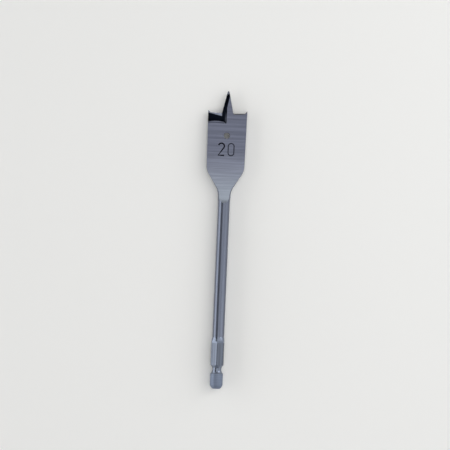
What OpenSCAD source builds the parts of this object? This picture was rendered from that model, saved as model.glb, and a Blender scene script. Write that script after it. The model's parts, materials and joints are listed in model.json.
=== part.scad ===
// Spade drill bit, 20 mm, with a hex shank.
// One piece of steel: a turned blank, pressed flat at the blade, hexed at the shank, then ground.
// Millimetres. The axis is Y, from the end of the shank at 0 to the tip; +Z faces up off the blade.

/* [Overall] */
// Length from the end of the shank to the tip of the point
overall_length = 152; // [140:1:200]

/* [Blade] */
// Cutting diameter, across the spurs
cut_d = 20; // [16:0.5:28]
// Width that the blade loses from the spurs to the shoulders
back_taper = 0.6; // [0.2:0.1:1]
// Distance from the cutting edges to the corners of the shoulders
blade_length = 29.3; // [26:0.1:36]
// Slope of the shoulders to the axis, in degrees
shoulder_slope = 31.5; // [28:0.5:36]
// Radius of the rounded shoulders
shoulder_round = 8; // [3:0.5:10]
// Thickness at the cutting edges
edge_t = 2.4; // [2.2:0.1:3]
// Thickness where the flat faces end at the neck
heel_t = 3.8; // [3.2:0.1:4.6]

/* [Neck] */
// Width of the neck
neck_w = 6.4; // [6.2:0.1:7]
// Radius between the shoulders and the neck
neck_round = 10; // [4:0.5:11]
// Straight neck, from where the slope of the shoulders ends to the end of the flat faces
neck_length = 4.4; // [3.9:0.1:8]
// Radius by which the flat faces run out into the shaft
run_out = 2; // [1.5:0.1:4]
// Length over which the neck narrows to the shaft, half of it on each side of where the flat faces end
neck_fade = 2; // [1:0.1:3]

/* [Point] */
// Length of the point above the cutting edges
point_length = 11.2; // [9:0.1:14]
// Width of the point just under its tip
tip_w = 0.9; // [0.6:0.1:1.4]
// Width of the point at its root
root_w = 5.8; // [4.5:0.1:7]
// Radius in the corners between the point and the cutting edges
root_round = 0.8; // [0.3:0.1:1.2]
// Width of the hollow along each edge of the point
point_hollow_w = 1.9; // [0.8:0.05:2.1]
// How much shallower that hollow is than the hollow of the wings at its shallowest
point_hollow_lift = 0.15; // [0.1:0.05:0.3]

/* [Cutting edges] */
// Height of the spurs above the cutting edges
spur_h = 1.1; // [0.5:0.1:2]
// Width of the spurs at their base
spur_w = 1.2; // [0.8:0.1:2]
// Width left at the top of the spurs
spur_land = 0.15; // [0.1:0.05:0.3]
// Fall of each cutting edge from its spur to the point
edge_fall = 0.3; // [0:0.1:0.8]
// Relief behind every cutting edge, in degrees
relief = 20; // [10:1:25]
// Reach of the hollow below each cutting edge
hollow_reach = 4.7; // [3:0.1:6]
// Depth of that hollow
hollow_depth = 1.15; // [0.9:0.05:1.3]
// How much shallower the hollow is in the middle of a wing
hollow_arch = 0.3; // [0.1:0.05:0.5]
// Distance from the axis to the inner wall of the hollow
hollow_wall = 0.35; // [0.2:0.05:1]

/* [Hole] */
// Diameter of the hole through the blade
hole_d = 3.1; // [2:0.1:5]
// Distance of its centre below the cutting edges
hole_drop = 11.6; // [9:0.1:20]

/* [Shaft] */
// Diameter of the round shaft
shaft_d = 6; // [5:0.1:6.2]

/* [Hex shank] */
// Size of the hex across its flats
hex_af = 6.35; // [6.3:0.05:6.5]
// Turn of the hex about the axis, from where one of its flats would face up, in degrees
hex_turn = 25; // [10:1:50]
// Diameter to which the corners of the hex are turned
hex_corner_d = 7.2; // [6.8:0.05:7.25]
// Length from the end of the shank to the shaft
hex_length = 26.4; // [22:0.2:40]
// Length of the cone by which the corners fall to the shaft
cone_length = 3.2; // [2:0.1:6]
// Radius by which that cone is crowned
cone_crown = 20; // [10:1:60]
// Diameter of the corners between the groove and the end
tail_d = 6.6; // [6.5:0.05:7]
// Length of the chamfer at the end
tail_chamfer = 2.1; // [1:0.1:3]
// Radius by which that chamfer is crowned
tail_crown = 4; // [3:0.5:10]
// Diameter of the flat end face
tail_end_d = 3.8; // [3:0.1:5]
// Distance of the middle of the groove from the end
groove_y = 9.8; // [8:0.1:12]
// Diameter at the floor of the groove
groove_d = 4.6; // [4:0.1:5.2]
// Radius of the section of the groove
groove_round = 2.85; // [2:0.05:4]

/* [Hidden] */
$fn = 96;

// What a cut runs past the faces that it goes through
over = 1;
wings = [0, 180];
flats = [for (i = [0:5]) hex_turn + 60 * i];
// Turn of the seam of the blank from +X towards -Z, to the middle of a flat
seam_turn = hex_turn + 30;
// Steps in each rounded corner of an outline
arc_steps = 8;

// Half sizes
cut_r = cut_d / 2;
shoulder_r = cut_r - back_taper / 2;
neck_r = neck_w / 2;
shaft_r = shaft_d / 2;
hex_corner_r = hex_corner_d / 2;
tail_r = tail_d / 2;
tail_end_r = tail_end_d / 2;
groove_r = groove_d / 2;

// Places along the axis
tip_y = overall_length;
edge_y = tip_y - point_length;
spur_y = edge_y + spur_h;
shoulder_y = edge_y - blade_length;
slope_end_y = shoulder_y - (shoulder_r - neck_r) / tan(shoulder_slope);
heel_y = slope_end_y - neck_length;

// Point: the line of its edge, from the root to just under the tip
root = [root_w / 2, edge_y - edge_fall];
under_tip = [tip_w / 2, tip_y - tip_w / 2];
point_slope = atan((root.x - under_tip.x) / (under_tip.y - root.y));
point_edge = norm(under_tip - root);

// Radius of the wheel that grinds a hollow of this reach and depth
function wheel_r(reach, depth) = (reach * reach + depth * depth) / (2 * depth);
wing_wheel_r = wheel_r(hollow_reach, hollow_depth);
wing_wheel_w = cut_r + over - hollow_wall;
// What its rim is waisted by at a share of its width
function waist(share) = 4 * hollow_arch * share * (1 - share);
point_hollow_depth = hollow_depth - hollow_arch - point_hollow_lift;
point_wheel_r = wheel_r(point_hollow_w, point_hollow_depth);

function unit(v) = v / norm(v);

// Points of the arc of radius r that rounds the corner p of an outline, from the leg to a to the leg to b
function rounded(a, p, b, r) =
    let (
        u = unit(a - p),
        v = unit(b - p),
        half = acos(u * v) / 2,
        centre = p + unit(u + v) * r / sin(half),
        from = p + u * r / tan(half) - centre,
        to = p + v * r / tan(half) - centre,
        start = atan2(from.y, from.x),
        sweep = (atan2(to.y, to.x) - start + 540) % 360 - 180
    )
    [
        for (i = [0:arc_steps])
            let (turn = start + sweep * i / arc_steps)
            centre + r * [cos(turn), sin(turn)]
    ];

// What an arc of radius r through a and b leaves off outside; the steel is on the left from a to b
module crown_cut(a, b, r) {
    chord = b - a;
    middle = (a + b) / 2 + unit([-chord.y, chord.x]) * sqrt(r * r - chord * chord / 4);
    difference() {
        translate([min(a.x, b.x) - over, a.y - over]) square([abs(chord.x) + 2 * over, chord.y + 2 * over]);
        translate(middle) circle(r);
    }
}

// Half section of the turned shank: radius across, place along the axis up
module shank_section() {
    difference() {
        polygon([
            [0, 0], [tail_r, 0], [tail_r, groove_y], [hex_corner_r, groove_y],
            [hex_corner_r, hex_length + over / 2], [0, hex_length + over / 2]
        ]);
        translate([groove_r + groove_round, groove_y]) circle(groove_round);
        crown_cut([tail_end_r, 0], [tail_r, tail_chamfer], tail_crown);
        crown_cut([hex_corner_r, hex_length - cone_length], [shaft_r, hex_length], cone_crown);
    }
}

// The same of the shaft and of the bar that becomes the blade
module shaft_section() {
    fade_end = [shaft_r, heel_y - neck_fade / 2];
    fade_top = [neck_r, heel_y + neck_fade / 2];
    slope_end = [neck_r, slope_end_y];
    shoulder = [shoulder_r, shoulder_y];
    // The taper of the sides runs on past the spurs, to where the bar is cut off
    rim = [cut_r + (tip_y - spur_y) * (cut_r - shoulder_r) / (spur_y - shoulder_y), tip_y];
    polygon(concat(
        [[0, hex_length - cone_length], [shaft_r, hex_length - cone_length], fade_end, fade_top],
        rounded(fade_top, slope_end, shoulder, neck_round),
        rounded(slope_end, shoulder, rim, shoulder_round),
        [rim, [0, tip_y]]
    ));
}

// Turned about the axis, so that its seam lies where the flats and the faces are cut away
module blank() {
    rotate([-90, seam_turn, 0]) rotate_extrude() {
        shank_section();
        shaft_section();
    }
}

// What is outside one flat of the hex
module hex_flat_cut() {
    translate([-hex_corner_d, -over, hex_af / 2])
        cube([2 * hex_corner_d, hex_length + over, hex_corner_d]);
}

// What is pressed away above one face of the blade; the run-out ends it at the neck
module face_cut() {
    lean = (heel_t - edge_t) / 2 / (edge_y - heel_y);
    tip_z = heel_t / 2 - lean * (tip_y + over - heel_y);
    rotate([0, -90, 0]) linear_extrude(cut_d + 2 * over, center = true) {
        polygon([
            [heel_t / 2, heel_y], [tip_z, tip_y + over],
            [cut_r + over, tip_y + over], [cut_r + over, heel_y]
        ]);
        translate([heel_t / 2 + run_out, heel_y]) circle(run_out);
    }
}

// An outline with its origin at (0, y), leaned back by the relief and cut through the blade
module relieved(y) {
    translate([0, y, 0]) rotate([relief, 0, 0])
        linear_extrude(2 * (point_length + heel_t), center = true) children();
}

// A height above that origin, as it is drawn on the leaning plane
function leaned(height) = height * cos(relief);

// The next four cuts are drawn for the wing on the +X side, which leads with its lower face.

// Clears the space between the point and the spur, down to the cutting edge
module wing_cut() {
    beyond = tip_y + over - root.y;
    flank_top = [root.x - beyond * tan(point_slope), leaned(tip_y + over - edge_y)];
    flank_root = [root.x, leaned(root.y - edge_y)];
    spur_base = [cut_r - spur_w, 0];
    relieved(edge_y) polygon(concat(
        [flank_top],
        rounded(flank_top, flank_root, spur_base, root_round),
        [
            spur_base, [cut_r - spur_land, leaned(spur_h)],
            [cut_r + over, leaned(spur_h)], [cut_r + over, flank_top.y]
        ]
    ));
}

// Bevels one side of the tip
module tip_cut() {
    relieved(tip_y) polygon([
        [-tip_w, leaned(tip_w)], [tip_w, leaned(-tip_w)], [tip_w, leaned(tip_w)]
    ]);
}

// Hollow behind the cutting edge, ground by a wheel with a slightly waisted rim
module wing_hollow() {
    translate([hollow_wall, edge_y, hollow_depth - edge_t / 2 - wing_wheel_r])
        rotate([0, 90, 0]) rotate_extrude() polygon(concat(
            [[0, 0]],
            [
                for (i = [0:arc_steps])
                    let (share = i / arc_steps)
                    [wing_wheel_r - waist(share), wing_wheel_w * share]
            ],
            [[0, wing_wheel_w]]
        ));
}

// Hollow along the edge of the point
module point_hollow() {
    translate([root.x, root.y, point_hollow_depth - edge_t / 2 - point_wheel_r])
        rotate([-90, 0, point_slope]) cylinder(h = point_edge + 2 * over, r = point_wheel_r);
}

module hole() {
    translate([0, edge_y - hole_drop, 0]) cylinder(h = 2 * heel_t, d = hole_d, center = true);
}

module spade_bit() {
    color([0.49, 0.54, 0.66]) difference() {
        blank();
        for (turn = flats) rotate([0, turn, 0]) hex_flat_cut();
        for (turn = wings) rotate([0, turn, 0]) {
            face_cut();
            wing_cut();
            tip_cut();
            wing_hollow();
            point_hollow();
        }
        hole();
    }
}

spade_bit();
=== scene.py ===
import json
import math

import bmesh
import bpy
from mathutils import Matrix, Vector


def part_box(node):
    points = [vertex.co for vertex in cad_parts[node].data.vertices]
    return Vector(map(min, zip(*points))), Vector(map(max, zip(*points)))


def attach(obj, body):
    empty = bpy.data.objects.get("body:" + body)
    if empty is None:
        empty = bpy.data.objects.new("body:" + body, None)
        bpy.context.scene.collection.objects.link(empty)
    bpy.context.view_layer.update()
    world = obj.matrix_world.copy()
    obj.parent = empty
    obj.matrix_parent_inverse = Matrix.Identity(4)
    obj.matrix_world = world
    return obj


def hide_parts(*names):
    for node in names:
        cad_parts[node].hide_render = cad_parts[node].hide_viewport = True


bl_info = {
    "name": "Spade Drill Bit",
    "version": (1, 0, 0),
    "blender": (4, 5, 0),
    "location": "View3D > Sidebar > Spade Bit",
    "description": "Finishes a forged and ground spade drill bit and sets it on a studio table",
    "category": "Add Mesh",
}

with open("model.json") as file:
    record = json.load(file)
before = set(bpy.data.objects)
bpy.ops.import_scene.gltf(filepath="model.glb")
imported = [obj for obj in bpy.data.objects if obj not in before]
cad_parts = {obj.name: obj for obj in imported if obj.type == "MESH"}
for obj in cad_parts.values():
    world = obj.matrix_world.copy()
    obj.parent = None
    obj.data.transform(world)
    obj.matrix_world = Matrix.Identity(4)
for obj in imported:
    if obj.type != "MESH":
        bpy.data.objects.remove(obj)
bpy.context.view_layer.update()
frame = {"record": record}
NODE = "spade_bit"
MM = 0.001
MOUNTS = {mount["name"]: mount for mount in frame["record"]["mounts"]}
LOW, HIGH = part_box(NODE)


def length(name, millimetres, description):
    """A length property, written in millimetres and kept in metres."""
    return bpy.props.FloatProperty(
        name=name, description=description, default=millimetres * MM, min=0.0, precision=5, unit="LENGTH"
    )


def angle(name, degrees, description):
    """An angle property, written in degrees."""
    return bpy.props.FloatProperty(
        name=name, description=description, default=math.radians(degrees),
        subtype="ANGLE", unit="ROTATION"
    )


def strength(name, value, description):
    """A brightness, where 1 is white."""
    return bpy.props.FloatProperty(name=name, description=description, default=value, min=0.0)


def linear(code):
    """An sRGB hex colour as the linear values that the shaders take."""
    parts = [int(code[i:i + 2], 16) / 255 for i in (1, 3, 5)]
    return [c / 12.92 if c <= 0.04045 else ((c + 0.055) / 1.055) ** 2.4 for c in parts]


def colour(name, code, description):
    """A colour property, written as an sRGB hex value."""
    return bpy.props.FloatVectorProperty(
        name=name, description=description, default=linear(code),
        size=3, min=0.0, max=1.0, subtype="COLOR"
    )


class BladeSizes(bpy.types.PropertyGroup):
    """Sizes of the blade, from the cutting edges to the neck."""

    back_taper: length("Back taper", 0.6, "Width that the blade loses from the spurs to the shoulders")
    blade_length: length("Blade length", 29.3, "From the cutting edges to the corners of the shoulders")
    shoulder_slope: angle("Shoulder slope", 31.5, "Slope of the shoulders to the axis")
    shoulder_round: length("Shoulder radius", 8, "Radius of the rounded shoulders")
    edge_thickness: length("Edge thickness", 2.4, "Thickness at the cutting edges")
    heel_thickness: length("Heel thickness", 3.8, "Thickness where the flat faces end at the neck")
    neck_width: length("Neck width", 6.4, "Width of the neck")
    neck_round: length("Neck radius", 10, "Radius between the shoulders and the neck")
    neck_length: length("Neck length", 4.4, "From the shoulders' slope to the middle of the neck's fade")
    neck_fade: length("Neck fade", 2, "Length over which the neck narrows to the shaft")
    flat_neck: length("Flat neck", 2.7, "From the shoulders' slope to where the flat faces bend up")
    run_out: length("Run-out radius", 6, "Radius by which the flat faces bend up into the shaft")


class EdgeSizes(bpy.types.PropertyGroup):
    """Sizes of the point, the spurs and the hollows."""

    point_length: length("Point length", 11.2, "Length of the point above the cutting edges")
    tip_width: length("Tip width", 0.9, "Width of the point just under its tip")
    root_width: length("Root width", 5.8, "Width of the point at its root")
    root_round: length("Root radius", 0.8, "Radius between the point and the cutting edges")
    point_hollow_width: length("Point hollow width", 1.9, "Width of the hollow along the point")
    point_hollow_depth: length("Point hollow depth", 0.7, "Depth of that hollow")
    spur_height: length("Spur height", 1.1, "Height of the spurs above the cutting edges")
    spur_width: length("Spur width", 1.2, "Width of the spurs at their base")
    spur_land: length("Spur land", 0.15, "Width left at the top of the spurs")
    edge_fall: length("Edge fall", 0.3, "Fall of each cutting edge from its spur to the point")
    relief: angle("Relief", 20, "Relief behind every cutting edge")
    hollow_reach: length("Hollow reach", 4.95, "Reach of the hollow below each cutting edge")
    hollow_depth: length("Hollow depth", 1.15, "Depth of that hollow")
    hollow_arch: length("Hollow arch", 0.3, "How much shallower the hollow is in the middle of a wing")
    hollow_wall: length("Hollow wall", 0.35, "Distance from the axis to the inner wall of the hollow")
    wheel_corner: length("Wheel corner", 0.6, "Radius in the corner between that wall and the hollow")
    band_reach: length("Band reach", 4.65, "Reach of the shallow band that leads into the hollow")
    band_depth: length("Band depth", 0.2, "Depth that this band would have at the cutting edge")
    band_arch: length("Band arch", 0.03, "How much shallower the band is in the middle of a wing")
    band_wall: length("Band wall", 1.2, "Distance from the axis to the inner end of the band")
    slot_reach: length("Slot reach", 5.2, "Reach of the slot that the wheel leaves beside the wall")
    slot_depth: length("Slot depth", 1.2, "Depth of that slot")
    slot_width: length("Slot width", 1.0, "Width of that slot")
    slot_corner: length("Slot corner", 0.25, "Radius in the corners of that slot")


class ShankSizes(bpy.types.PropertyGroup):
    """Sizes of the shaft and the hex shank."""

    shaft_diameter: length("Shaft diameter", 6, "Diameter of the round shaft")
    corner_diameter: length("Corner diameter", 7.2, "Diameter to which the corners of the hex are turned")
    hex_length: length("Hex length", 26.4, "From the end of the shank to the shaft")
    cone_length: length("Cone length", 3.2, "Length of the cone by which the corners fall to the shaft")
    tail_diameter: length("Tail diameter", 6.6, "Diameter of the corners between the groove and the end")
    tail_chamfer: length("Tail chamfer", 2.1, "Length of the chamfer at the end")
    tail_end_diameter: length("End face", 3.8, "Diameter of the flat end face")
    groove_place: length("Groove place", 9.8, "Distance of the middle of the groove from the end")
    groove_diameter: length("Groove diameter", 4.6, "Diameter at the floor of the groove")
    groove_round: length("Groove radius", 2.85, "Radius of the section of the groove")
    cone_crown: length("Cone crown", 20, "Radius by which the cone is crowned")
    flat_fade: length("Flat fade", 2.9, "Length over which the flats of the hex bend down to the shaft")
    flat_fall: length("Flat fall", 0.16, "Height by which they do")
    tail_crown: length("Chamfer crown", 4, "Radius by which the chamfer at the end is crowned")


class StampSizes(bpy.types.PropertyGroup):
    """Sizes of the stamped size mark, whose second digit was struck more lightly."""

    height: length("Digit height", 6.2, "Height of the digits, between the middles of their strokes")
    width: length("Digit width", 2.95, "Width of the digits, between the middles of their strokes")
    pitch: length("Digit pitch", 4.95, "Distance between the middles of the digits")
    drop: length("Drop", 18.6, "Distance of the middle of the digits below the cutting edges")
    two_stroke: length("Stroke of the 2", 0.74, "Width of its strokes at the surface")
    two_depth: length("Depth of the 2", 0.24, "Depth of its strokes")
    zero_stroke: length("Stroke of the 0", 0.56, "Width of its strokes at the surface")
    zero_depth: length("Depth of the 0", 0.14, "Depth of its strokes")


class FinishColours(bpy.types.PropertyGroup):
    """Colours of the steel, as its finishes show it."""

    ground: colour("Ground faces", "#6C7080", "Blade faces, ground across")
    # Painted highlight: the lower faces and the neck end are painted lighter than the faces above, for the
    # way the light falls on them
    heel: colour("Lower faces", "#858A99", "Blade faces below the size mark")
    neck: colour("Neck", "#9CA4B0", "Bright end of the faces, at the neck")
    # Painted shade: the lower border of each band is painted darker, along the step where the band ends
    band: colour("Bands", "#4C4F5C", "Lower border of the shallow bands that lead into the hollows")
    drawn: colour("Drawn bar", "#707685", "Round shaft")
    turned: colour("Turned parts", "#7B8393", "Cone and groove of the shank")
    tail: colour("Tail", "#808A9D", "End of the shank, below its groove")
    flats: colour("Hex flats", "#737A88", "Flats of the hex")
    # Painted reflection: the corners of the hex are painted dark, for the dark room that their rounding
    # mirrors
    corners: colour("Hex corners", "#32353D", "Corners of the hex, dark from the die")
    # Painted reflection: the hollows are painted nearly black for the dark room that they mirror, and
    # their lips are painted light as a painted highlight
    hollow: colour("Hollows", "#0C1018", "Middle of the hollows, dark from the heat of the wheel")
    lip_highlight: colour("Lips", "#808695", "Bright lips of the hollows, where the wheel ran off")
    # Painted reflection: the flanks are painted dark for the dark room that they mirror, and the wall of
    # the hang hole, which shares their finish, for painted shade in the hole
    flank: colour("Flanks", "#30333C", "Relieved flanks behind the cutting edges")
    stamp: colour("Stamp", "#1B1D25", "Floor of the stamped 2")
    faint: colour("Faint stamp", "#3B3E48", "Floor of the stamped 0")
    floor: colour("Floor", "#F4F4F2", "Table top")


class StageSettings(bpy.types.PropertyGroup):
    """Camera, table and light."""

    field: length("Field of view", 229.9, "Width of the picture at the bit")
    lens: bpy.props.FloatProperty(
        name="Lens", description="Focal length, long enough to look straight down on all of the bit",
        default=135.0, min=1.0, unit="CAMERA"
    )
    roll: angle("Roll", 2.45, "Lean of the bit in the picture, to the right at its tip")
    off_right: length("Off to the right", 1.36, "Middle of the picture from the middle of the bit")
    off_up: length("Off upwards", 7.61, "The same along the bit")
    side_light: strength("Side light", 1.5, "Brightness of the soft box on the left")
    overhead_light: strength("Overhead light", 1.05, "Brightness of the soft box above")
    fill_light: strength("Fill light", 0.63, "Brightness of the soft box on the right")
    window_light: strength("Window light", 1.8, "Brightness of the small soft box beyond the tip")
    tent_above: strength("Tent above", 0.2, "Brightness of the light tent straight up")
    tent_around: strength("Tent around", 1.0, "Brightness of the light tent at the level of the table")
    table_reach: length("Table reach", 3000, "From the bit to the end of the table")
    table_fade: strength("Table fade", 0.65, "Brightness that the table gains far from the bit")


SETTINGS = {
    "blade": BladeSizes,
    "edges": EdgeSizes,
    "shank": ShankSizes,
    "stamp": StampSizes,
    "finish": FinishColours,
    "stage": StageSettings,
}


def group(kind, name, description):
    """A pointer to one group of settings."""
    return bpy.props.PointerProperty(type=kind, name=name, description=description)


class BitSettings(bpy.types.PropertyGroup):
    """All settings of the bit and its stage."""

    blade: group(BladeSizes, "Blade", "Sizes of the blade")
    edges: group(EdgeSizes, "Edges", "Sizes of the ground end")
    shank: group(ShankSizes, "Shank", "Sizes of the shank")
    stamp: group(StampSizes, "Stamp", "Sizes of the size mark")
    finish: group(FinishColours, "Finish", "Colours of the steel")
    stage: group(StageSettings, "Stage", "Camera, table and light")


# Steps of a full turn, of one of a large wheel, of a rounded corner and of a long arc
TURN_STEPS = 128
WHEEL_STEPS = 360
CORNER_STEPS = 12
ARC_STEPS = 24
# What a cut runs past the faces that it goes through
OVER = 1 * MM
# Points this close are one point
CLOSE = MM / 10000
# Edges that turn by more than this look sharp
SHARP = math.radians(24)
# Soft boxes: the angles that each covers to the right of straight up and those towards the tip, in degrees
SOFT_BOXES = {
    "side": ((-90, -57), (-45, 45)),
    "overhead": ((-14, 18), (-45, 45)),
    "fill": ((18, 80), (-45, 45)),
    "window": ((36, 76), (10, 36)),
}


def rounded(a, p, b, radius):
    """Points of the arc that rounds the corner p of an outline, from the leg to a to the leg to b."""
    u = (Vector(a) - Vector(p)).normalized()
    v = (Vector(b) - Vector(p)).normalized()
    half = u.angle(v) / 2
    centre = Vector(p) + (u + v).normalized() * radius / math.sin(half)
    start = Vector(p) + u * radius / math.tan(half) - centre
    end = Vector(p) + v * radius / math.tan(half) - centre
    return arc(centre, radius, math.atan2(start.y, start.x), math.atan2(end.y, end.x), CORNER_STEPS)


def arc(centre, radius, start, end, steps):
    """Points of the arc between two directions, the shorter way round."""
    sweep = (end - start + math.pi) % math.tau - math.pi
    turns = [start + sweep * i / steps for i in range(steps + 1)]
    return [Vector((centre[0] + radius * math.cos(t), centre[1] + radius * math.sin(t))) for t in turns]


def arc_through(a, b, radius, steps):
    """Points of the arc from a to b that bulges to the right of the way."""
    chord = Vector(b) - Vector(a)
    rise = math.sqrt(radius ** 2 - chord.length_squared / 4)
    centre = (Vector(a) + Vector(b)) / 2 + Vector((-chord.y, chord.x)).normalized() * rise
    start = Vector(a) - centre
    end = Vector(b) - centre
    return arc(centre, radius, math.atan2(start.y, start.x), math.atan2(end.y, end.x), steps)


def wheel_radius(reach, depth):
    """Radius of the wheel that grinds a hollow of this reach and depth."""
    return (reach ** 2 + depth ** 2) / (2 * depth)


def shape_from(bm, name, finish):
    """A new object from a bmesh, with one finish on it."""
    mesh = bpy.data.meshes.new(name)
    bm.to_mesh(mesh)
    bm.free()
    mesh.materials.append(finish)
    made = bpy.data.objects.new(name, mesh)
    bpy.context.scene.collection.objects.link(made)
    return made


def prism(name, outline, place, depth, finish):
    """A flat outline, made depth thick about its own plane and put in its place."""
    bm = bmesh.new()
    corners = [bm.verts.new((p[0], p[1], -depth / 2)) for p in outline]
    base = bm.faces.new(corners)
    pulled = bmesh.ops.extrude_face_region(bm, geom=[base])
    top = [v for v in pulled["geom"] if isinstance(v, bmesh.types.BMVert)]
    bmesh.ops.translate(bm, verts=top, vec=(0, 0, depth))
    bmesh.ops.recalc_face_normals(bm, faces=bm.faces[:])
    for face in bm.faces:
        face.smooth = True
    bmesh.ops.transform(bm, matrix=place, verts=bm.verts[:])
    return shape_from(bm, name, finish)


def turned(name, profile, place, finish, steps=TURN_STEPS):
    """A profile of radius and height, spun about its own height and put in its place."""
    bm = bmesh.new()
    line = [bm.verts.new((p[0], 0, p[1])) for p in profile]
    edges = [bm.edges.new(pair) for pair in zip(line, line[1:])]
    bmesh.ops.spin(
        bm, geom=line + edges, cent=(0, 0, 0), axis=(0, 0, 1), angle=math.tau, steps=steps, use_merge=True
    )
    bmesh.ops.remove_doubles(bm, verts=bm.verts[:], dist=CLOSE)
    bmesh.ops.recalc_face_normals(bm, faces=bm.faces[:])
    for face in bm.faces:
        face.smooth = True
    bmesh.ops.transform(bm, matrix=place, verts=bm.verts[:])
    return shape_from(bm, name, finish)


def cut(target, cutters):
    """Takes the cutters out of the target, one by one; each leaves its own finish on what it cuts."""
    for cutter in cutters:
        change = target.modifiers.new("cut", "BOOLEAN")
        change.operation = "DIFFERENCE"
        change.solver = "EXACT"
        change.material_mode = "TRANSFER"
        change.object = cutter
        solid = target.evaluated_get(bpy.context.evaluated_depsgraph_get())
        mesh = bpy.data.meshes.new_from_object(solid)
        target.modifiers.remove(change)
        spent = target.data
        target.data = mesh
        bpy.data.meshes.remove(spent)
        used = cutter.data
        bpy.data.objects.remove(cutter)
        bpy.data.meshes.remove(used)


def clean(piece):
    """Joins points that the cuts left on top of each other and drops faces that have no area."""
    bm = bmesh.new()
    bm.from_mesh(piece.data)
    bmesh.ops.remove_doubles(bm, verts=bm.verts[:], dist=10 * CLOSE)
    bmesh.ops.dissolve_degenerate(bm, dist=10 * CLOSE, edges=bm.edges[:])
    bm.to_mesh(piece.data)
    bm.free()


class Plan:
    """Places worked out from the settings, along the axis and across it."""

    def __init__(self, bit):
        blade, edges, shank = bit.blade, bit.edges, bit.shank
        self.tip = HIGH.y
        self.cut = HIGH.x
        self.edge = self.tip - edges.point_length
        self.spur = self.edge + edges.spur_height
        self.shoulder = self.edge - blade.blade_length
        self.shoulder_r = self.cut - blade.back_taper / 2
        self.neck_r = blade.neck_width / 2
        self.slope_end = self.shoulder - (self.shoulder_r - self.neck_r) / math.tan(blade.shoulder_slope)
        self.neck_end = self.slope_end - blade.neck_length
        self.heel = self.slope_end - blade.flat_neck
        self.shaft_r = shank.shaft_diameter / 2
        self.lean = (blade.heel_thickness - blade.edge_thickness) / 2 / (self.edge - self.heel)
        self.heel_z = blade.heel_thickness / 2
        self.root = Vector((edges.root_width / 2, self.edge - edges.edge_fall))
        self.under_tip = Vector((edges.tip_width / 2, self.tip - edges.tip_width / 2))

    def face(self, y):
        """Height of the upper face of the blade at a place along the axis."""
        return self.heel_z - self.lean * (y - self.heel)


def add_node(tree, kind, settings=None, values=None, links=None):
    """Adds a node, with its settings, the values of its sockets and the sockets that feed it."""
    node = tree.nodes.new(kind)
    for name, value in (settings or {}).items():
        setattr(node, name, value)
    for name, value in (values or {}).items():
        node.inputs[name].default_value = value
    for name, source in (links or {}).items():
        tree.links.new(source, node.inputs[name])
    return node


def new_finish(name):
    """An empty steel with its shader and the place on the piece, which all finishes start from."""
    finish = bpy.data.materials.new(name)
    finish.use_nodes = True
    tree = finish.node_tree
    tree.nodes.clear()
    out = add_node(tree, "ShaderNodeOutputMaterial")
    shader = add_node(tree, "ShaderNodeBsdfPrincipled", values={"Metallic": 1.0})
    tree.links.new(shader.outputs["BSDF"], out.inputs["Surface"])
    place = add_node(tree, "ShaderNodeTexCoord")
    return finish, tree, shader, place.outputs["Object"]


# The lines that a wheel, a die or a tool leaves are finer than a tenth of a millimetre,
# so all of them are drawn as coarse as they need to show
def streaks(tree, place, across, along, axis, detail=3.0):
    """Noise drawn out along one axis: lines about across wide and about along long."""
    scale = [1 / across] * 3
    scale["XYZ".index(axis)] = 1 / along
    mapped = add_node(tree, "ShaderNodeMapping", values={"Scale": scale}, links={"Vector": place})
    noise = add_node(
        tree, "ShaderNodeTexNoise", values={"Scale": 1.0, "Detail": detail, "Roughness": 0.55},
        links={"Vector": mapped.outputs["Vector"]}
    )
    return noise.outputs["Fac"]


def spread(tree, source, low, high, from_low=0.3, from_high=0.7):
    """Maps a pattern to a range of values."""
    node = add_node(
        tree, "ShaderNodeMapRange",
        values={"From Min": from_low, "From Max": from_high, "To Min": low, "To Max": high},
        links={"Value": source}
    )
    return node.outputs["Result"]


def dressed(tree, shader, base, shade, roughness, bump, bump_height):
    """Feeds a shader: a colour darkened by a shade, a roughness and a bump."""
    mix = add_node(
        tree, "ShaderNodeMix", {"data_type": "RGBA", "blend_type": "MULTIPLY"},
        {"Factor": 1.0}, {"B": shade}
    )
    if isinstance(base, bpy.types.NodeSocket):
        tree.links.new(base, mix.inputs["A"])
    else:
        mix.inputs["A"].default_value = (*base, 1.0)
    tree.links.new(mix.outputs["Result"], shader.inputs["Base Color"])
    tree.links.new(roughness, shader.inputs["Roughness"])
    relief = add_node(
        tree, "ShaderNodeBump", values={"Strength": 1.0, "Distance": bump_height}, links={"Height": bump}
    )
    tree.links.new(relief.outputs["Normal"], shader.inputs["Normal"])


def ground_steel(name, stops):
    """Faces ground across on a flat wheel, with a colour at each of some places along the axis."""
    finish, tree, shader, place = new_finish(name)
    # Ground steel looks satin: lines from side to side, and lamps smeared across them
    fine = streaks(tree, place, 0.22 * MM, 9 * MM, "X")
    broad = streaks(tree, place, 0.9 * MM, 40 * MM, "X", detail=1.0)
    both = add_node(tree, "ShaderNodeMix", values={"Factor": 0.6}, links={"A": fine, "B": broad})
    lines = both.outputs["Result"]
    parts = add_node(tree, "ShaderNodeSeparateXYZ", links={"Vector": place})
    first = stops[0][0]
    last = stops[-1][0]
    along = spread(tree, parts.outputs["Y"], 0.0, 1.0, first, last)
    ramp = add_node(tree, "ShaderNodeValToRGB", links={"Fac": along})
    steps = ramp.color_ramp.elements
    steps[0].color = (*stops[0][1], 1.0)
    steps[1].color = (*stops[-1][1], 1.0)
    for y, base in stops[1:-1]:
        steps.new((y - first) / (last - first)).color = (*base, 1.0)
    shade = spread(tree, lines, 0.78, 1.12)
    dressed(tree, shader, ramp.outputs["Color"], shade, spread(tree, lines, 0.46, 0.34), lines, 0.006 * MM)
    return finish


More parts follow.
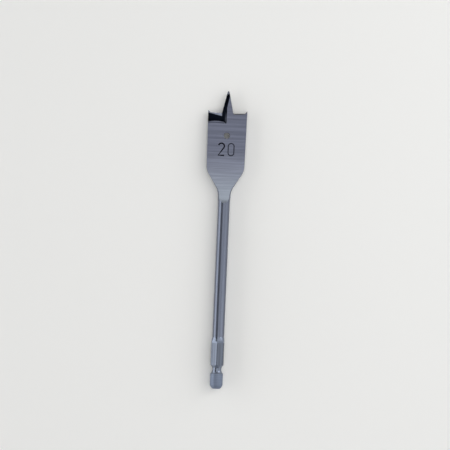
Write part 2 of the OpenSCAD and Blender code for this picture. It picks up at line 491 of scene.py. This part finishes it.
def drawn_steel(bit):
    """Drawn bar: smooth, with faint lines along it."""
    finish, tree, shader, place = new_finish("drawn_steel")
    # Drawn steel is half bright, so each lamp shows as a long soft stripe
    lines = streaks(tree, place, 0.5 * MM, 40 * MM, "Y")
    shade = spread(tree, lines, 0.86, 1.08)
    dressed(tree, shader, bit.finish.drawn, shade, spread(tree, lines, 0.36, 0.26), lines, 0.004 * MM)
    return finish


def turned_steel(name, base, rough):
    """Turned parts of the shank, with fine rings from the tool."""
    finish, tree, shader, place = new_finish(name)
    # Turned steel gives bright bands, broken by rings; the rougher it is, the duller they are
    ring = 0.3 * MM
    mapped = add_node(
        tree, "ShaderNodeMapping", values={"Scale": (0, 1 / ring, 0)}, links={"Vector": place}
    )
    noise = add_node(
        tree, "ShaderNodeTexNoise", values={"Scale": 1.0, "Detail": 2.0},
        links={"Vector": mapped.outputs["Vector"]}
    )
    rings = noise.outputs["Fac"]
    shade = spread(tree, rings, 0.88, 1.08)
    dressed(tree, shader, base, shade, spread(tree, rings, rough + 0.05, rough - 0.05), rings, 0.004 * MM)
    return finish


def hex_steel(bit):
    """Flats of the drawn hex: streaks along the bar from the die."""
    finish, tree, shader, place = new_finish("drawn_hex_steel")
    # The die wears the flats unevenly, so they look dull, with dark and light streaks
    lines = streaks(tree, place, 0.5 * MM, 30 * MM, "Y")
    shade = spread(tree, lines, 0.64, 1.16)
    dressed(tree, shader, bit.finish.flats, shade, spread(tree, lines, 0.42, 0.3), lines, 0.008 * MM)
    return finish


def hollow_steel(bit, plan):
    """Hollows behind the edges: painted nearly black, a painted reflection of the dark room, with painted
    highlights on the lips where the wheel ran off, on the tip and beside the inner wall.
    """
    finish, tree, shader, place = new_finish("painted_dark_hollow_steel")
    # Smooth steel, painted blue-black as a painted reflection of the dark room; only the lips, the tip and
    # the strip by the wall are painted light, as painted highlights
    parts = add_node(tree, "ShaderNodeSeparateXYZ", links={"Vector": place})
    up = parts.outputs["Y"]
    # The two hollows are on opposite sides of the axis, so the distance from it serves both
    aside = add_node(
        tree, "ShaderNodeMath", {"operation": "ABSOLUTE"}, links={0: parts.outputs["X"]}
    ).outputs[0]
    soft = 0.15 * MM
    # The painted highlight on the lip along the cutting edge gets wider towards the point
    widening = 0.22
    lip_top = plan.edge - widening * plan.cut
    fall = add_node(
        tree, "ShaderNodeMath", {"operation": "MULTIPLY_ADD"}, {1: -widening}, {0: aside, 2: up}
    ).outputs[0]
    lip_highlight = add_node(tree, "ShaderNodeMath", {"operation": "MULTIPLY"}, links={
        0: spread(tree, fall, 0.0, 1.0, lip_top - soft, lip_top + soft),
        1: spread(tree, aside, 0.0, 1.0, plan.root.x - soft, plan.root.x + soft),
    }).outputs[0]
    # The strip beside the inner wall gets a little lighter below the cutting edge, a painted highlight
    wall_highlight_share = 0.22
    wall_end = 1.3 * MM
    fade_low = plan.edge - 2.5 * MM
    fade_high = plan.edge + 0.7 * MM
    wall = add_node(tree, "ShaderNodeMath", {"operation": "MULTIPLY"}, links={
        0: spread(tree, aside, wall_highlight_share, 0.0, wall_end - soft, wall_end + soft),
        1: spread(tree, up, 1.0, 0.0, fade_low, fade_high),
    }).outputs[0]
    # The tip is painted bright too, a painted highlight
    tip_end = plan.tip - 1.6 * MM
    painted_highlight = spread(tree, up, 0.0, 1.0, tip_end - soft, tip_end + soft)
    for part in (lip_highlight, wall):
        either = {0: painted_highlight, 1: part}
        painted_highlight = add_node(tree, "ShaderNodeMath", {"operation": "MAXIMUM"}, links=either).outputs[0]
    mix = add_node(
        tree, "ShaderNodeMix", {"data_type": "RGBA"},
        {"A": (*bit.finish.hollow, 1.0), "B": (*bit.finish.lip_highlight, 1.0)}, {"Factor": painted_highlight}
    )
    lines = streaks(tree, place, 0.3 * MM, 6 * MM, "Y")
    shade = spread(tree, lines, 0.75, 1.1)
    dressed(tree, shader, mix.outputs["Result"], shade, spread(tree, lines, 0.36, 0.26), lines, 0.003 * MM)
    return finish


def flank_steel(bit):
    """Flanks behind the cutting edges and round the point, ground on a coarse wheel."""
    finish, tree, shader, place = new_finish("painted_dark_flank_steel")
    # A coarse wheel leaves short lines through the blade; the bevel is painted dark, a painted reflection
    # of the dark room
    lines = streaks(tree, place, 0.25 * MM, 4 * MM, "Z")
    shade = spread(tree, lines, 0.8, 1.08)
    dressed(tree, shader, bit.finish.flank, shade, spread(tree, lines, 0.44, 0.3), lines, 0.006 * MM)
    return finish


def stamped_steel(name, base):
    """Floor of a stamped digit, where dark scale stays."""
    finish, tree, shader, place = new_finish(name)
    # Scale is matt and mottled, so the strokes stay dark from every side
    speck = 0.4 * MM
    noise = add_node(
        tree, "ShaderNodeTexNoise", values={"Scale": 1 / speck, "Detail": 2.0}, links={"Vector": place}
    )
    mottle = noise.outputs["Fac"]
    shade = spread(tree, mottle, 0.6, 1.2)
    dressed(tree, shader, base, shade, spread(tree, mottle, 0.5, 0.7), mottle, 0.01 * MM)
    return finish


def groove_meets(shank, radius):
    """Where the groove meets a turned surface, as the angle about the middle of its section."""
    off_axis = shank.groove_diameter / 2 + shank.groove_round
    return math.acos((off_axis - radius) / shank.groove_round)


def bar(bit, plan, drawn, turned_part, corners):
    """The bar that the bit is pressed and ground from, with the turned ends of its shank."""
    blade, shank = bit.blade, bit.shank
    tail_r = shank.tail_diameter / 2
    corner_r = shank.corner_diameter / 2
    groove = (shank.groove_diameter / 2 + shank.groove_round, shank.groove_place)
    groove_low = math.pi + groove_meets(shank, tail_r)
    groove_high = math.pi - groove_meets(shank, corner_r)
    hex_start = shank.groove_place + shank.groove_round * math.sin(groove_high)
    hex_end = shank.hex_length - shank.cone_length
    tail_end = (shank.tail_end_diameter / 2, 0)
    tail_top = (tail_r, shank.tail_chamfer)
    cone_low = (corner_r, hex_end)
    cone_high = (plan.shaft_r, shank.hex_length)
    fade_end = (plan.shaft_r, plan.neck_end - blade.neck_fade / 2)
    fade_top = (plan.neck_r, plan.neck_end + blade.neck_fade / 2)
    slope_end = (plan.neck_r, plan.slope_end)
    shoulder = (plan.shoulder_r, plan.shoulder)
    taper = (plan.cut - plan.shoulder_r) / (plan.spur - plan.shoulder)
    # The bar is a little too long, and the bevels of the tip make its end
    past = plan.tip + OVER / 4
    rim = (plan.cut + (past - plan.spur) * taper, past)
    profile = [
        (0, 0),
        *arc_through(tail_end, tail_top, shank.tail_crown, CORNER_STEPS),
        *arc(groove, shank.groove_round, groove_low, groove_high, ARC_STEPS),
        *arc_through(cone_low, cone_high, shank.cone_crown, CORNER_STEPS),
        fade_end,
        fade_top,
        *rounded(fade_top, slope_end, shoulder, blade.neck_round),
        *rounded(slope_end, shoulder, rim, blade.shoulder_round),
        rim,
        (0, past),
    ]
    made = turned("ground_bit", profile, Matrix.Rotation(-math.pi / 2, 4, "X"), drawn)
    made.data.materials.append(turned_part)
    made.data.materials.append(corners)
    for face in made.data.polygons:
        if hex_start < face.center.y < hex_end:
            face.material_index = 2
        elif face.center.y < shank.hex_length:
            face.material_index = 1
    return made


def finish_tail(piece, bit, finish):
    """Gives one finish to all that is below the groove of the shank."""
    shank = bit.shank
    piece.data.materials.append(finish)
    index = len(piece.data.materials) - 1
    rise = math.sin(groove_meets(shank, shank.tail_diameter / 2))
    groove_low = shank.groove_place - shank.groove_round * rise
    for face in piece.data.polygons:
        if face.center.y < groove_low:
            face.material_index = index


def hex_flats():
    """Distance of the flats of the hex from the axis, and the turn about it that faces each of them."""
    first = Vector(MOUNTS["jaw_flat_a"]["axis"])
    off_axis = Vector(MOUNTS["jaw_flat_a"]["pos_m"]).dot(first)
    start = math.atan2(first.x, first.z)
    return off_axis, [Matrix.Rotation(start + math.tau * i / 6, 4, "Y") for i in range(6)]


def hex_cuts(bit, finish):
    """What is outside the six flats of the hex."""
    off_axis, turns = hex_flats()
    reach = bit.shank.corner_diameter
    end = bit.shank.hex_length
    outline = [(-reach, -OVER), (reach, -OVER), (reach, end), (-reach, end)]
    lift = Matrix.Translation((0, 0, off_axis + reach / 2))
    return [prism("hex_flat", outline, turn @ lift, reach, finish) for turn in turns]


def fade_cuts(bit, finish):
    """What bends the ends of the six flats down to the shaft."""
    off_axis, turns = hex_flats()
    shank = bit.shank
    radius = wheel_radius(shank.flat_fade, shank.flat_fall)
    low = (off_axis, shank.hex_length - shank.flat_fade)
    high = (off_axis - shank.flat_fall, shank.hex_length)
    reach = shank.corner_diameter
    outline = [*arc_through(low, high, radius, ARC_STEPS), (reach, high[1]), (reach, low[1])]
    upright = Matrix.Rotation(-math.pi / 2, 4, "Y")
    return [prism("flat_fade", outline, turn @ upright, reach, finish) for turn in turns]


def face_cut(bit, plan, finish):
    """What is pressed away above one face of the blade; its run-out ends it at the neck."""
    past = plan.tip + OVER
    top = plan.cut + OVER
    run_out = bit.blade.run_out
    centre = Vector((plan.heel_z + run_out, plan.heel))
    outline = [
        *arc(centre, run_out, -math.pi / 2, math.pi, ARC_STEPS),
        (plan.face(past), past), (top, past), (top, plan.heel - run_out)
    ]
    return prism("face", outline, Matrix.Rotation(-math.pi / 2, 4, "Y"), 2 * top, finish)


def relieved(name, outline, bit, y, finish):
    """An outline with its origin at (0, y), leaned back by the relief and cut through the blade."""
    place = Matrix.Translation((0, y, 0)) @ Matrix.Rotation(bit.edges.relief, 4, "X")
    return prism(name, outline, place, 2 * (bit.edges.point_length + bit.blade.heel_thickness), finish)


def wing_cuts(bit, plan, finish):
    """Clears the space between the point and the spur, and bevels one side of the tip."""
    edges = bit.edges
    drawn = math.cos(edges.relief)
    past = plan.tip + OVER
    slope = (plan.root.x - plan.under_tip.x) / (plan.under_tip.y - plan.root.y)
    flank_top = (plan.root.x - (past - plan.root.y) * slope, (past - plan.edge) * drawn)
    flank_root = (plan.root.x, -edges.edge_fall * drawn)
    spur_base = (plan.cut - edges.spur_width, 0)
    spur_top = (plan.cut - edges.spur_land, edges.spur_height * drawn)
    wing = [
        flank_top,
        *rounded(flank_top, flank_root, spur_base, edges.root_round),
        spur_base,
        spur_top,
        (plan.cut + OVER, spur_top[1]),
        (plan.cut + OVER, flank_top[1]),
    ]
    wide = edges.tip_width
    tip = [(-wide, wide * drawn), (wide, -wide * drawn), (wide, wide * drawn)]
    return [
        relieved("wing", wing, bit, plan.edge, finish),
        relieved("tip", tip, bit, plan.tip, finish),
    ]


def wheel_cut(name, plan, bit, wall, width, reach, depth, arch, corner, finish):
    """A wheel with a waisted rim and a rounded corner, which grinds below the cutting edge of one wing."""
    radius = wheel_radius(reach, depth)
    shares = [i / ARC_STEPS for i in range(ARC_STEPS + 1)]
    rim = [(radius - 4 * arch * s * (1 - s), width * s) for s in shares if width * s > corner]
    start = (rim[0][0] - corner, corner)
    profile = [(0, 0), *arc(start, corner, -math.pi / 2, 0, CORNER_STEPS), *rim, (0, width)]
    place = Matrix.Translation((wall, plan.edge, depth - bit.blade.edge_thickness / 2 - radius))
    return turned(name, profile, place @ Matrix.Rotation(math.pi / 2, 4, "Y"), finish, WHEEL_STEPS)


def hollow_cuts(bit, plan, band, hollow):
    """The hollow of one wing with the band that leads into it, and the hollow along the point."""
    edges = bit.edges
    rim = plan.cut + OVER
    slim = wheel_radius(edges.point_hollow_width, edges.point_hollow_depth)
    edge = plan.under_tip - plan.root
    reach = edge.length + 2 * OVER
    slope = math.atan2(-edge.x, edge.y)
    low = edges.point_hollow_depth - bit.blade.edge_thickness / 2
    place = Matrix.Translation((plan.root.x, plan.root.y, low - slim))
    turn = Matrix.Rotation(slope, 4, "Z") @ Matrix.Rotation(-math.pi / 2, 4, "X")
    return [
        wheel_cut(
            "band", plan, bit, edges.band_wall, rim - edges.band_wall, edges.band_reach,
            edges.band_depth, edges.band_arch, edges.wheel_corner, band
        ),
        wheel_cut(
            "wing_hollow", plan, bit, edges.hollow_wall, rim - edges.hollow_wall, edges.hollow_reach,
            edges.hollow_depth, edges.hollow_arch, edges.wheel_corner, hollow
        ),
        wheel_cut(
            "slot", plan, bit, edges.hollow_wall, edges.slot_width, edges.slot_reach,
            edges.slot_depth, 0, edges.slot_corner, hollow
        ),
        turned("point_hollow", [(0, 0), (slim, 0), (slim, reach), (0, reach)], place @ turn, hollow),
    ]


def hole_cut(bit, finish):
    """The hang hole, where the record has it."""
    mount = MOUNTS["hang_hole"]
    radius = mount["dims"]["r_mm"] * MM
    reach = bit.blade.heel_thickness
    profile = [(0, -reach), (radius, -reach), (radius, reach), (0, reach)]
    return turned("hang_hole", profile, Matrix.Translation(mount["pos_m"]), finish)


def two_path(stamp, middle):
    """Middle line of the digit 2."""
    radius = stamp.width / 2
    x = -stamp.pitch / 2
    bow_y = middle + stamp.height / 2 - radius
    base = middle - stamp.height / 2
    left, top, right = math.radians(165), math.radians(60), math.radians(-38)
    return [
        *arc((x, bow_y), radius, left, top, CORNER_STEPS),
        *arc((x, bow_y), radius, top, right, CORNER_STEPS)[1:],
        Vector((x - radius, base)),
        Vector((x + radius, base)),
    ]


def zero_path(stamp, middle):
    """Middle line of the digit 0, closed."""
    radius = stamp.width / 2
    x = stamp.pitch / 2
    straight = stamp.height / 2 - radius
    path = []
    for side, y in ((0, middle + straight), (math.pi, middle - straight)):
        turns = [side + math.pi * i / ARC_STEPS for i in range(ARC_STEPS + 1)]
        path += [Vector((x + radius * math.cos(t), y + radius * math.sin(t))) for t in turns]
    return path


def stroke_cut(name, plan, path, closed, stroke, depth, finish):
    """A round-nosed stroke, sunk into the upper face along a path."""
    radius = wheel_radius(stroke / 2, depth)
    line = bpy.data.curves.new(name, "CURVE")
    line.dimensions = "3D"
    line.bevel_depth = radius
    line.bevel_resolution = 6
    line.use_fill_caps = True
    spline = line.splines.new("POLY")
    spline.points.add(len(path) - 1)
    spline.use_cyclic_u = closed
    for point, p in zip(spline.points, path):
        point.co = (p.x, p.y, plan.face(p.y) + radius - depth, 1.0)
    carrier = bpy.data.objects.new(name, line)
    bpy.context.scene.collection.objects.link(carrier)
    solid = carrier.evaluated_get(bpy.context.evaluated_depsgraph_get())
    bm = bmesh.new()
    bm.from_mesh(bpy.data.meshes.new_from_object(solid))
    bmesh.ops.remove_doubles(bm, verts=bm.verts[:], dist=CLOSE)
    bmesh.ops.recalc_face_normals(bm, faces=bm.faces[:])
    bpy.data.objects.remove(carrier)
    return shape_from(bm, name, finish)


def stamp_cuts(bit, plan, deep, faint):
    """The digits 2 and 0 of the size mark."""
    stamp = bit.stamp
    middle = plan.edge - stamp.drop
    two = two_path(stamp, middle)
    zero = zero_path(stamp, middle)
    return [
        stroke_cut("two", plan, two, False, stamp.two_stroke, stamp.two_depth, deep),
        stroke_cut("zero", plan, zero, True, stamp.zero_stroke, stamp.zero_depth, faint),
    ]


class SPADEBIT_OT_bit(bpy.types.Operator):
    """Turn, press and grind the bit, stamp its size and give each surface its finish"""

    bl_idname = "spadebit.bit"
    bl_label = "Make the bit"

    def execute(self, context):
        bit = context.scene.spade_bit
        plan = Plan(bit)
        colours = bit.finish
        # The faces get brighter from the size mark down to the neck, a painted highlight for the way the
        # light falls on them
        highlight_start = plan.edge - 18.5 * MM
        highlight_end = plan.edge - 29 * MM
        ground = ground_steel("ground_steel", [
            (plan.heel, colours.neck),
            (highlight_end, colours.heel),
            (highlight_start, colours.ground),
            (plan.edge, colours.ground),
        ])
        # The bands are dark only along their lower border, painted shade along the step where each band
        # ends
        border = 0.2 * MM
        band_end = plan.edge - bit.edges.band_reach
        band = ground_steel("band_ground_steel", [
            (band_end - border, colours.band),
            (band_end, colours.ground),
        ])
        drawn = drawn_steel(bit)
        turned_part = turned_steel("turned_steel", colours.turned, rough=0.27)
        # The corners' steel is painted dark, a painted reflection of the dark room
        corners = turned_steel("painted_dark_corner_steel", colours.corners, rough=0.45)
        tail = turned_steel("tumbled_steel", colours.tail, rough=0.6)
        flats = hex_steel(bit)
        hollow = hollow_steel(bit, plan)
        flank = flank_steel(bit)
        deep = stamped_steel("stamped_steel", colours.stamp)
        faint = stamped_steel("faintly_stamped_steel", colours.faint)
        piece = bar(bit, plan, drawn, turned_part, corners)
        cut(piece, hex_cuts(bit, flats))
        cut(piece, fade_cuts(bit, turned_part))
        finish_tail(piece, bit, tail)
        for turn in (0, math.pi):
            cutters = [face_cut(bit, plan, ground)]
            cutters += wing_cuts(bit, plan, flank)
            cutters += hollow_cuts(bit, plan, band, hollow)
            for cutter in cutters:
                cutter.data.transform(Matrix.Rotation(turn, 4, "Y"))
            cut(piece, cutters)
        # The wall of the hang hole takes the flanks' painted-dark finish, painted shade inside the hole
        cut(piece, [hole_cut(bit, flank), *stamp_cuts(bit, plan, deep, faint)])
        clean(piece)
        piece.data.set_sharp_from_angle(angle=SHARP)
        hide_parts(NODE)
        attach(piece, "root")
        return {"FINISHED"}


def table_top(bit, plan):
    """The pale table, tilted so that the bit rests on the hex and on the end of the shaft at the neck."""
    bm = bmesh.new()
    bmesh.ops.create_grid(bm, x_segments=1, y_segments=1, size=bit.stage.table_reach)
    finish = bpy.data.materials.new("pale_table")
    finish.use_nodes = True
    tree = finish.node_tree
    # Painted board is matt and nearly white, so that it only carries the shadow
    shader = tree.nodes["Principled BSDF"]
    shader.inputs["Base Color"].default_value = (*bit.finish.floor, 1.0)
    shader.inputs["Roughness"].default_value = 0.6
    shader.inputs["Emission Color"].default_value = (1, 1, 1, 1)
    # Far from the bit, where no lamp reaches, the table fades to the white of the tent: painted light, a
    # glow that only camera, glossy and transmission rays see
    place = add_node(tree, "ShaderNodeTexCoord").outputs["Object"]
    far = add_node(
        tree, "ShaderNodeVectorMath", {"operation": "LENGTH"}, links={0: place}
    ).outputs["Value"]
    rays = add_node(tree, "ShaderNodeLightPath")
    seen = rays.outputs["Is Camera Ray"]
    for name in ("Is Glossy Ray", "Is Transmission Ray"):
        either = {0: seen, 1: rays.outputs[name]}
        seen = add_node(tree, "ShaderNodeMath", {"operation": "MAXIMUM"}, links=either).outputs[0]
    fade = spread(tree, far, 0.0, bit.stage.table_fade, 2 * HIGH.y, bit.stage.table_reach / 2)
    lift = add_node(tree, "ShaderNodeMath", {"operation": "MULTIPLY"}, links={0: fade, 1: seen})
    tree.links.new(lift.outputs[0], shader.inputs["Emission Strength"])
    table = shape_from(bm, "table_top", finish)
    heel = Vector((0, bit.shank.hex_length - bit.shank.cone_length, LOW.z))
    toe = Vector((0, plan.neck_end - bit.blade.neck_fade, -plan.shaft_r))
    table.location = heel
    table.rotation_euler = (math.atan2(toe.z - heel.z, toe.y - heel.y), 0, 0)


def soft_box(name, across, along, brightness):
    """A soft light, between two angles to the right of straight up and two towards the tip, in degrees.

    Its brightness is what a mirror shows of it.
    """
    # Distance from the middle of the bit
    away = 750 * MM
    lean = math.radians(sum(across)) / 2
    tilt = math.radians(sum(along)) / 2
    data = bpy.data.lights.new(name, "AREA")
    data.shape = "RECTANGLE"
    data.size = 2 * away * math.tan(math.radians(across[1] - across[0]) / 2)
    data.size_y = 2 * away * math.tan(math.radians(along[1] - along[0]) / 2)
    data.energy = brightness * math.pi * data.size * data.size_y
    light = bpy.data.objects.new(name, data)
    bpy.context.scene.collection.objects.link(light)
    turn = Matrix.Rotation(lean, 4, "Y") @ Matrix.Rotation(-tilt, 4, "X")
    light.matrix_world = Matrix.Translation((0, HIGH.y / 2, 0)) @ turn @ Matrix.Translation((0, 0, away))
    light.visible_camera = False


def studio_world(above, around):
    """A light tent: dim above, bright around."""
    world = bpy.data.worlds.new("studio")
    world.use_nodes = True
    tree = world.node_tree
    sky = tree.nodes["Background"]
    sky.inputs["Color"].default_value = (1, 1, 1, 1)
    way = add_node(tree, "ShaderNodeTexCoord")
    parts = add_node(tree, "ShaderNodeSeparateXYZ", links={"Vector": way.outputs["Generated"]})
    # From this height on, as the sine of the angle, the tent is as dim as straight up
    dim = 0.6
    tree.links.new(spread(tree, parts.outputs["Z"], around, above, 0.0, dim), sky.inputs["Strength"])
    bpy.context.scene.world = world


class SPADEBIT_OT_stage(bpy.types.Operator):
    """Set the table, the soft light and the camera that looks straight down on the blade"""

    bl_idname = "spadebit.stage"
    bl_label = "Make the stage"

    def execute(self, context):
        bit = context.scene.spade_bit
        stage = bit.stage
        table_top(bit, Plan(bit))
        studio_world(stage.tent_above, stage.tent_around)
        for name, (across, along) in SOFT_BOXES.items():
            soft_box(name, across, along, getattr(stage, name + "_light"))
        middle = Vector((0, HIGH.y / 2, 0))
        data = bpy.data.cameras.new("camera")
        data.lens = stage.lens
        camera = bpy.data.objects.new("camera", data)
        context.scene.collection.objects.link(camera)
        right = Vector((math.cos(stage.roll), math.sin(stage.roll), 0))
        up = Vector((-math.sin(stage.roll), math.cos(stage.roll), 0))
        away = stage.field * data.lens / data.sensor_width
        camera.location = middle + right * stage.off_right + up * stage.off_up + Vector((0, 0, away))
        camera.rotation_euler = (0, 0, stage.roll)
        context.scene.camera = camera
        context.scene.view_settings.view_transform = "Standard"
        return {"FINISHED"}


class VIEW3D_PT_spade_bit(bpy.types.Panel):
    """Settings and makers of the bit"""

    bl_idname = "VIEW3D_PT_spade_bit"
    bl_label = "Spade Bit"
    bl_space_type = "VIEW_3D"
    bl_region_type = "UI"
    bl_category = "Spade Bit"

    def draw(self, context):
        bit = context.scene.spade_bit
        for part, kind in SETTINGS.items():
            box = self.layout.box()
            box.label(text=part.capitalize())
            for name in kind.__annotations__:
                box.prop(getattr(bit, part), name)
        self.layout.operator(SPADEBIT_OT_bit.bl_idname)
        self.layout.operator(SPADEBIT_OT_stage.bl_idname)


CLASSES = (*SETTINGS.values(), BitSettings, SPADEBIT_OT_bit, SPADEBIT_OT_stage, VIEW3D_PT_spade_bit)


def register():
    for kind in CLASSES:
        bpy.utils.register_class(kind)
    bpy.types.Scene.spade_bit = bpy.props.PointerProperty(type=BitSettings)


def unregister():
    del bpy.types.Scene.spade_bit
    for kind in reversed(CLASSES):
        bpy.utils.unregister_class(kind)


def main():
    register()
    bpy.ops.spadebit.bit()
    bpy.ops.spadebit.stage()


if __name__ == "__main__":
    main()
